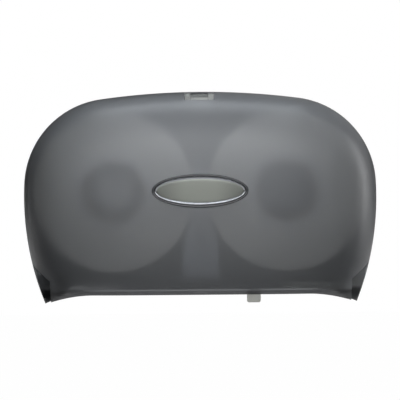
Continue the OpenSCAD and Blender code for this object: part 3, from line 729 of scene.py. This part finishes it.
def cornerStep(side, grow):
    # what the stepped lower corner leaves out of the dome
    farX, farZ, farD = cover["stepFar"]
    x0 = cover["stepX"] - grow
    tilt = math.radians(cover["stepTilt"])
    outline = [(farX, farZ), (x0, farZ)]
    for x in (x0, farX):
        outline.append((x, cover["stepZ"] + (x - cover["stepX"]) * math.tan(tilt) + grow / math.cos(tilt)))
    return prism("step", [(side * x, z) for x, z in outline], cover["stepD"] - grow, farD)


def beaded(thin, thick):
    # the hollow's skin, drawn inwards near the lip so that the wall ends in a bead
    top = cover["rise"] - cover["bottom"] + cover["beadTop"]
    rows = []
    for a, b in zip(thin, thick):
        row = []
        for p, q in zip(a, b):
            t = min(1.0, max(0.0, (top - p[2]) / cover["beadEase"]))
            t = t * t * (3 - 2 * t)
            row.append(tuple(u + (v - u) * t for u, v in zip(p, q)))
        rows.append(row)
    return rows


def web(side, x0, d0, d1, z0, z1):
    # flat wall from a distance out to just inside the side of the cover
    steps = cover["webSteps"]
    heights = [z0 + (z1 - z0) * i / steps for i in range(steps + 1)]
    outline = [(x0, z1), (x0, z0)] + [(sideAt(z, cover["webInset"]), z) for z in heights]
    return prism("web", [(side * x, z) for x, z in outline], d0, d1)


def barrel(side):
    # hinge barrel with its blind bore
    mouth, floor, end = hinge["mouth"], hinge["floor"], hinge["end"]
    profile = [(mouth, hinge["bore"]), (mouth, hinge["outer"]), (end, hinge["outer"]),
               (end, hinge["tip"]), (floor, hinge["tip"]), (floor, hinge["bore"])]
    rows = [[(side * x, -hinge["depth"] + r * math.cos(a), hinge["height"] + r * math.sin(a))
             for a in circle(hinge["steps"])] for x, r in profile]
    return loft("barrel", rows)


def badgeRecess():
    width, height = badge["width"] / 2 + badge["air"], badge["height"] / 2 + badge["air"]
    outline = [(width * math.cos(a), height * math.sin(a)) for a in circle(badge["recessSteps"])]
    return prism("oval", outline, badge["seat"], badge["recessTo"])


def buildCover():
    outer, outerPole = coverSkin(0.0)
    thin, innerPole = coverSkin(cover["wall"], cover["drop"])
    thick, _ = coverSkin(cover["bead"], cover["drop"])
    shell = coverSolid(outer, outerPole, cover["gap"])
    hollow = coverSolid(beaded(thin, thick), innerPole, cover["gap"] - cover["through"])
    for side in (-1, 1):
        cutWith(hollow, cornerStep(side, cover["wall"]))
    cutWith(shell, hollow)
    for side in (-1, 1):
        cutWith(shell, cornerStep(side, 0.0))
    cutWith(shell, boxPart(*cover["notch"]))
    cutWith(shell, badgeRecess())
    parts = [shell, boxPart(*cover["catch"])]
    for side in (-1, 1):
        parts += [sideBox(side, *cover["cheek"]), sideBox(side, *cover["ledge"]), barrel(side)]
        parts += [web(side, *sizes) for sizes in cover["webs"]]
    return joined("frontCover", [shadeByAngle(part) for part in parts])


def badgePart(name, profile, closed=True):
    # a profile of inset and height over the seat, carried round the oval
    rows = []
    for inset, rise in profile:
        width, height = badge["width"] / 2 - inset, badge["height"] / 2 - inset
        depth = badge["seat"] + rise
        rows.append([(width * math.cos(a), -depth, height * math.sin(a)) for a in circle(badge["steps"])])
    return shadeByAngle(loft(name, rows, closed), badge["crease"])


print("front cover: building")
handOver(dress(buildCover(), "smoke"), "front_cover", "cover")
print("badge: building")
handOver(dress(badgePart("badgeBezel", badge["bezel"]), "trim"), "badge_bezel", "cover")
handOver(dress(badgePart("badgeRing", badge["ring"]), "bright"), "badge_ring", "cover")
handOver(dress(badgePart("badgePlate", badge["plate"], closed=False), "plate"), "badge_plate", "cover")


mouldings = [
    # node, piece, finish, slot, body, edge in mm
    ("back_plate", "backPlate", "dark", "dark_plastic", "base", 0.4),
    ("divider", "rollDivider", "pale", "grey_plastic", "base", 0.8),
    ("latch_housing", "latchHousing", "dark", "dark_plastic", "base", 0.5),
    ("latch_button", "latchButton", "light", "light_plastic", "release", 0.8),
    ("outlet_frame", "outletFrame", "dark", "dark_plastic", "cover", 0.4),
    ("shutter", "outletShutter", "natural", "light_plastic", "shutter", 0.5),
    ("left_spindle", "leftSpindle", "leftHubPaintedLit", "grey_plastic", "base", 0.4),
    ("right_spindle", "rightSpindle", "rightHubPaintedShade", "grey_plastic", "base", 0.4),
]
print("mouldings:", len(mouldings))
for node, name, key, slotName, body, edge in mouldings:
    handOver(dress(softened(node, name, edge), key), node, body)

screw = {
    # head radii and lengths in m
    "small": 0.0026, "flange": 0.0034, "short": 0.005, "middle": 0.0055, "long": 0.006,
    # shares of the head's radius, the dome's of its height
    "tall": 0.76, "shank": 0.45, "slot": 0.2, "slotLong": 1.05, "slotUp": 0.86, "sunk": 0.2,
    "taper": 0.36, "dome": 0.28,
    # how far each may be turned, and the head's points round, up and across
    "turn": 1.5, "round": (40, 7, 3),
    # seats in mm: the plate's face, and the circle on a spindle's flange
    "plate": -6, "circle": 22, "angles": (90, 210, 330),
}


def screwPattern():
    # pan heads with a cross recess, each turned to its own stop
    p = Pattern("panScrews", Head=screw["small"], Length=screw["short"], Turn=facing, Seed=4)
    r, long = p["Head"], p["Length"]
    tall = r * screw["tall"]
    around, up, across = screw["round"]
    blank = p.add("GeometryNodeMeshCylinder", {"fill_type": "TRIANGLE_FAN"},
                  {"Vertices": around, "Side Segments": up, "Fill Segments": across,
                   "Radius": r, "Depth": tall})
    x, y, z = p.split(p.add("GeometryNodeInputPosition"))
    level = z / tall + 0.5
    out = (x * x + y * y) / (r * r)
    narrow = 1 - level ** 3.0 * screw["taper"]
    crown = z + tall * 0.5 - level * out * tall * screw["dome"]
    head = p.add("GeometryNodeSetPosition",
                 ends={"Geometry": blank, "Position": p.vector(x * narrow, y * narrow, crown)})
    bit = p.add("GeometryNodeMeshCube",
                ends={"Size": p.vector(r * screw["slotLong"], r * screw["slot"], r)})
    slots = [p.moved(bit, p.vector(0.0, 0.0, r * screw["slotUp"]), (0.0, 0.0, a)) for a in (0.0, math.pi / 2)]
    head = p.add("GeometryNodeMeshBoolean", {"operation": "DIFFERENCE"}, {"Mesh 1": head, "Mesh 2": slots})
    shank = p.add("GeometryNodeMeshCylinder", ends={"Vertices": around // 2, "Radius": r * screw["shank"],
                                                    "Depth": long + r * screw["sunk"]})
    shank = p.moved(shank, p.vector(0.0, 0.0, long * -0.5 + r * (screw["sunk"] / 2)))
    rows = p.repeated(p["Points"], p.union(head, shank), p["Turn"])
    spin = p.add("FunctionNodeRandomValue", {"data_type": "FLOAT"},
                 {"Min": 0.0, "Max": screw["turn"], "Seed": p["Seed"]}, out=1)
    turn = p.add("FunctionNodeEulerToRotation", ends={"Euler": p.vector(0.0, 0.0, spin)})
    return p.close(p.add("GeometryNodeRotateInstances",
                         ends={"Instances": rows, "Rotation": turn, "Local Space": True}))


def plateSeats(*spots):
    return [(x, screw["plate"], z) for x, z in spots]


def flangeSeats(side):
    x, z, r = side * spindle["centre"], spindle["height"], screw["circle"]
    angles = [math.radians(a) for a in screw["angles"]]
    return plateSeats(*[(x + r * math.cos(a), z + r * math.sin(a)) for a in angles])


print("screws: growing")
screws = screwPattern()
flangeScrew = {"Head": screw["flange"], "Length": screw["middle"]}
screwSets = [
    # node, piece, body, seats, sizes
    ("divider_screws", "dividerScrews", "base", plateSeats((-20, -129.5), (20, -129.5), (0, 37)), {}),
    ("latch_screws", "latchScrews", "base", plateSeats((-26, 99.45), (26, 99.45)), {"Seed": 9}),
    ("left_spindle_screws", "leftSpindleScrews", "base", flangeSeats(-1), flangeScrew),
    ("right_spindle_screws", "rightSpindleScrews", "base", flangeSeats(1), {**flangeScrew, "Seed": 6}),
    ("frame_screws", "frameScrews", "cover",
     [(side * 204.5, -d, frameTop) for side in (-1, 1) for d in (64, 80)],
     {"Length": screw["long"], "Turn": (0.0, 0.0, 0.0), "Seed": 2}),
]
for node, name, body, seats, sizes in screwSets:
    handOver(screws.grow(name, seats, "steel", **sizes), node, body)

blade = {
    # where its middle and its front are, in mm, and its sizes in m
    "middle": 98.0, "front": 94.0,
    "long": 0.176, "thick": 0.0016, "tall": 0.0054, "tooth": 0.002, "teeth": 32, "sunk": 0.0002,
    # height and width of a triangle on a circle of 1
    "triangle": (1.5, 1.7321),
}


def bladePattern():
    # strip with a row of saw teeth along its lower edge
    p = Pattern("sawBlade", Length=blade["long"], Teeth=blade["teeth"], Thickness=blade["thick"],
                Height=blade["tall"], Tooth=blade["tooth"])
    long, thick, tooth = p["Length"], p["Thickness"], p["Tooth"]
    solid = p["Height"] - tooth
    pitch = long / p["Teeth"]
    strip = p.moved(p.add("GeometryNodeMeshCube", ends={"Size": p.vector(long, thick, solid)}),
                    p.vector(0.0, 0.0, solid * -0.5))
    # a cylinder of three sides makes a tooth, point down and sunk into the strip
    high, wide = blade["triangle"]
    point = p.add("GeometryNodeMeshCylinder", ends={"Vertices": 3, "Radius": 1.0, "Depth": thick})
    down = Matrix(((0, 1, 0), (0, 0, -1), (-1, 0, 0))).to_euler()
    size = (tooth + blade["sunk"]) / high
    point = p.moved(point, p.vector(0.0, 0.0, size * -0.5 + blade["sunk"]), tuple(down),
                    p.vector(size, pitch / wide, 1.0))
    first = p.vector((pitch - long) * 0.5, 0.0, solid * -1.0)
    row = p.add("GeometryNodeMeshLine",
                ends={"Count": p["Teeth"], "Start Location": first, "Offset": p.vector(pitch, 0.0, 0.0)})
    teeth = p.repeated(row, point, (0.0, 0.0, 0.0))
    return p.close(p.repeated(p["Points"], p.union(strip, teeth), (0.0, 0.0, 0.0)))


print("tear bars: growing")
blades = bladePattern()
for side, node, name in ((-1, "left_tear_bar", "leftTearBar"), (1, "right_tear_bar", "rightTearBar")):
    seat = (side * blade["middle"], -blade["front"] + blade["thick"] / mm / 2, frameTop)
    handOver(blades.grow(name, [seat], "steel"), node, "cover")

coil = {
    # height of its foot and distance off the wall in mm, and its sizes in m
    "foot": 89.0, "depth": 13.0, "radius": 0.0042, "wire": 0.0005, "tall": 0.0129,
    # turns, points along each and points round the wire
    "turns": 5.0, "perTurn": 28, "around": 12,
}


def springPattern():
    p = Pattern("coilSpring", Radius=coil["radius"], Wire=coil["wire"], Turns=coil["turns"],
                Height=coil["tall"])
    path = p.add("GeometryNodeCurveSpiral", ends={"Resolution": coil["perTurn"], "Rotations": p["Turns"],
                                                  "Start Radius": p["Radius"], "End Radius": p["Radius"],
                                                  "Height": p["Height"]})
    wire = p.add("GeometryNodeCurvePrimitiveCircle", ends={"Resolution": coil["around"], "Radius": p["Wire"]})
    tube = p.add("GeometryNodeCurveToMesh", ends={"Curve": path, "Profile Curve": wire, "Fill Caps": True})
    return p.close(p.repeated(p["Points"], tube, (0.0, 0.0, 0.0)))


print("spring: growing")
spring = springPattern().grow("latchSpring", [(0, -coil["depth"], coil["foot"])], "steel")
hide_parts("latch_spring")
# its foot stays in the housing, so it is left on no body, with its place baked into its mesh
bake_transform(spring)

roll = {
    # distance off the wall in mm, and sizes in m
    "back": 8.6, "wide": 0.089, "outer": 0.11375, "inner": 0.044, "corner": 0.0022,
    # how far layers stand back, how fine they are, and how far apart two rolls' patterns lie
    "layers": 0.0004, "fine": 620.0, "apart": 7.3,
    # points round the roll and round its section, and those of a corner
    "around": 144, "section": 190, "cornerSteps": 6,
}
core = {"outer": 0.044, "inner": 0.042, "corner": 0.0003}


def woundPattern():
    # wound tube: a rounded profile swept round the spindle, its faces uneven from layer to layer
    p = Pattern("woundTube", Outer=roll["outer"], Inner=roll["inner"], Width=roll["wide"],
                Corner=roll["corner"], Layers=0.0, Seed=3)
    wall = p["Outer"] - p["Inner"]
    middle = (p["Outer"] + p["Inner"]) * 0.5
    section = p.add("GeometryNodeCurvePrimitiveQuadrilateral", ends={"Width": wall, "Height": p["Width"]})
    section = p.add("GeometryNodeFilletCurve", {"mode": "POLY"},
                    {"Curve": section, "Radius": p["Corner"], "Count": roll["cornerSteps"],
                     "Limit Radius": True})
    section = p.add("GeometryNodeResampleCurve", {"mode": "COUNT"},
                    {"Curve": section, "Count": roll["section"]})
    x, y, z = p.split(p.add("GeometryNodeInputPosition"))
    where = p.vector(x * roll["fine"], p["Seed"] * roll["apart"], 0.0)
    worn = p.add("ShaderNodeTexNoise", {"noise_dimensions": "2D"},
                 {"Vector": where, "Scale": 1.0, "Detail": 2.0})
    sunk = 1 - worn * p["Layers"] / (p["Width"] * 0.5)
    section = p.add("GeometryNodeSetPosition",
                    ends={"Geometry": section, "Position": p.vector(x, y * sunk, z)})
    path = p.add("GeometryNodeCurvePrimitiveCircle", ends={"Resolution": roll["around"], "Radius": middle})
    tube = p.add("GeometryNodeCurveToMesh", ends={"Curve": path, "Profile Curve": section})
    return p.close(p.repeated(p["Points"], tube, facing))


print("rolls: winding")
wound = woundPattern()
for side, hand, body in ((-1, "left", "left_reel"), (1, "right", "right_reel")):
    middle = (side * spindle["centre"], -roll["back"] - roll["wide"] / mm / 2, spindle["height"])
    handOver(wound.grow(hand + "Roll", [middle], hand + "Paper", Layers=roll["layers"], Seed=3 + side),
             hand + "_roll", body)
    handOver(wound.grow(hand + "Core", [middle], "board", Outer=core["outer"], Inner=core["inner"],
                        Corner=core["corner"]), hand + "_core", body)

hub = {
    # body in mm: distances off the wall, radii, flange and disc thickness, rounding
    "back": 9.0, "front": 34.0, "bore": 8.06, "sleeve": 14.0, "rim": 41.7, "disc": 28.0,
    "flangeThick": 2, "discThick": 3, "round": 0.6, "steps": 96,
    # fins in m, the angle of the first one in degrees, and how far they stand off the back in mm
    "fins": 6, "finFrom": 0.0134, "finTo": 0.04165, "slope": 0.007, "finThick": 0.0024, "finLong": 0.023,
    "firstFin": 30, "finBack": 1,
}


def finPattern():
    # fins round the hub, their outer corners sloped to lead the core on
    p = Pattern("hubFins", Fins=hub["fins"], From=hub["finFrom"], To=hub["finTo"], Slope=hub["slope"],
                Thickness=hub["finThick"], Length=hub["finLong"])
    reach = p["To"] - p["From"]
    fin = p.add("GeometryNodeMeshCube", ends={"Size": p.vector(2.0, p["Thickness"], p["Length"]),
                                              "Vertices X": 3})
    x, y, z = p.split(p.add("GeometryNodeInputPosition"))
    tip = x.most(0.0)
    along = p["From"] + (x.least(0.0) + 1) * (reach - p["Slope"]) + tip * p["Slope"]
    drop = tip * z.over(0.0) * p["Slope"]
    fin = p.add("GeometryNodeSetPosition",
                ends={"Geometry": fin, "Position": p.vector(along, y, z + p["Length"] * 0.5 - drop)})
    # one point for each fin, in a ring too small to move them off the axis
    ring = p.add("GeometryNodeMeshCircle", ends={"Vertices": p["Fins"], "Radius": 0.000001})
    turn = p.add("GeometryNodeInputIndex") * (2 * math.pi) / p["Fins"] + math.radians(hub["firstFin"])
    fins = p.repeated(ring, fin, p.vector(0.0, 0.0, turn))
    return p.close(p.repeated(p["Points"], fins, facing))


def rounded(corners, radius, steps=3, share=0.45):
    # the same closed profile with its corners rounded, each over at most a share of its sides
    row = []
    for i, corner in enumerate(corners):
        here, before, after = Vector(corner), Vector(corners[i - 1]), Vector(corners[(i + 1) % len(corners)])
        r = min(radius, share * (before - here).length, share * (after - here).length)
        a, b = here + (before - here).normalized() * r, here + (after - here).normalized() * r
        for k in range(steps + 1):
            t = k / steps
            row.append(tuple(a * (1 - t) ** 2 + here * (2 * t * (1 - t)) + b * t ** 2))
    return row


def buildHub(name, side, key):
    # profile of radius and distance off the wall, turned round the spindle, and its fins
    x, z = side * spindle["centre"], spindle["height"]
    back, front = hub["back"], hub["front"]
    flange, disc = back + hub["flangeThick"], front - hub["discThick"]
    profile = rounded([(hub["bore"], back), (hub["rim"], back), (hub["rim"], flange),
                       (hub["sleeve"], flange), (hub["sleeve"], disc), (hub["disc"], disc),
                       (hub["disc"], front), (hub["bore"], front)], hub["round"])
    body = loft("body", [[(x + r * math.cos(a), -d, z + r * math.sin(a)) for a in circle(hub["steps"])]
                         for r, d in profile])
    fins = finPattern().grow("fins", [(x, -back - hub["finBack"], z)], key)
    return dress(shadeByAngle(joined(name, [body, fins])), key)


print("hubs: building")
handOver(buildHub("leftHubPaintedLit", -1, "leftHubPaintedLit"), "left_hub", "left_reel")
handOver(buildHub("rightHubPaintedShade", 1, "rightHubPaintedShade"), "right_hub", "right_reel")

plain = {"left_brake_washer": "felt", "right_brake_washer": "felt", "left_spindle_cap": "leftHubPaintedLit",
         "right_spindle_cap": "rightHubPaintedShade", "left_hinge_pin": "steel", "right_hinge_pin": "steel"}
print("plain pieces:", len(plain))
for node, key in plain.items():
    dress(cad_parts[node], key)

studio = {
    # floor's half size in m and height in mm, its grey, and how much of what is seen of it glows
    "floor": 12.0, "floorZ": -1100.0, "matt": (0.8, 0.8, 0.8, 1.0), "glow": 0.992,
    # brightness of the surroundings through the smoke plastic
    "white": (1.0, 1.0, 1.0, 1.0), "through": 0.5,
}


def buildFloor():
    size, z = studio["floor"], studio["floorZ"] * mm
    floor = makeObject("floor", [(-size, -size, z), (size, -size, z), (size, size, z), (-size, size, z)],
                       [(0, 1, 2, 3)])
    f = Finish("floorPale")
    seen = f.add("ShaderNodeLightPath", out="Is Camera Ray")
    seen = seen.most(f.add("ShaderNodeLightPath", out="Is Glossy Ray"))
    seen = seen.most(f.add("ShaderNodeLightPath", out="Is Transmission Ray") * studio["through"])
    matt = f.add("ShaderNodeBsdfDiffuse", ends={"Color": studio["matt"]})
    glow = f.add("ShaderNodeEmission", ends={"Color": studio["white"], "Strength": 1.0})
    mix = f.add("ShaderNodeMixShader", ends={0: seen * studio["glow"], 1: matt, 2: glow})
    f.tree.links.new(mix.socket, f.out.inputs[0])
    floor.data.materials.append(f.mat)


lamps = {
    # name: power in W, colour, size, place, aim and the angle of its beam
    "faceNear": (0.98, (0.965, 0.985, 1.0), (0.4, 0.1), (0.0, -0.34, 0.12), (0.0, -0.12, 0.06)),
    "front": (0.18, (1.0, 0.985, 0.955), (0.3, 0.3), (0.03, -0.6, 0.10), (0.0, -0.12, 0.05)),
    "low": (0.075, (1.0, 0.985, 0.955), (0.1, 0.15), (0.0, -0.34, -0.02), (0.0, -0.15, -0.03)),
    "right": (7.1, (1.0, 1.0, 1.0), (0.4, 0.8), (1.1, 0.1, 0.2), (0.1, 0.0, 0.0)),
    "rear": (1.2, (1.0, 1.0, 1.0), (1.2, 0.8), (0.6, 1.6, 0.7), (0.0, 0.0, 0.0)),
    "overhead": (10.0, (0.90, 0.95, 1.0), (0.8, 0.5), (0.0, 0.0, 1.0), (0.0, 0.0, 0.0)),
    "corner": (0.026, (1.0, 1.0, 1.0), (0.05, 0.05), (0.62, -0.42, -0.30), (0.268, -0.05, -0.155), 16.0),
}


def areaLight(name, power, colour, size, at, aim, beam=180.0):
    data = bpy.data.lights.new(name, "AREA")
    data.energy = power
    data.color = colour
    data.shape = "RECTANGLE"
    data.size, data.size_y = size
    data.spread = math.radians(beam)
    obj = linked(name, data)
    obj.location = at
    obj.rotation_euler = (Vector(aim) - Vector(at)).to_track_quat("-Z", "Y").to_euler()


def buildWorld():
    # white to the camera, half as bright through the cover, and no light of its own
    world = bpy.data.worlds.new("studio")
    bpy.context.scene.world = world
    world.use_nodes = True
    t = Tree(world.node_tree)
    t.tree.nodes.clear()
    seen = t.add("ShaderNodeLightPath", out="Is Camera Ray").most(
        t.add("ShaderNodeLightPath", out="Is Transmission Ray") * studio["through"])
    back = t.add("ShaderNodeBackground", ends={"Color": studio["white"], "Strength": seen})
    t.add("ShaderNodeOutputWorld", ends={"Surface": back}, out=None)


print("studio: building")
buildFloor()
for name, lamp in lamps.items():
    areaLight(name, *lamp)
buildWorld()

bpy.context.scene.view_settings.view_transform = "Standard"
print("scene done")
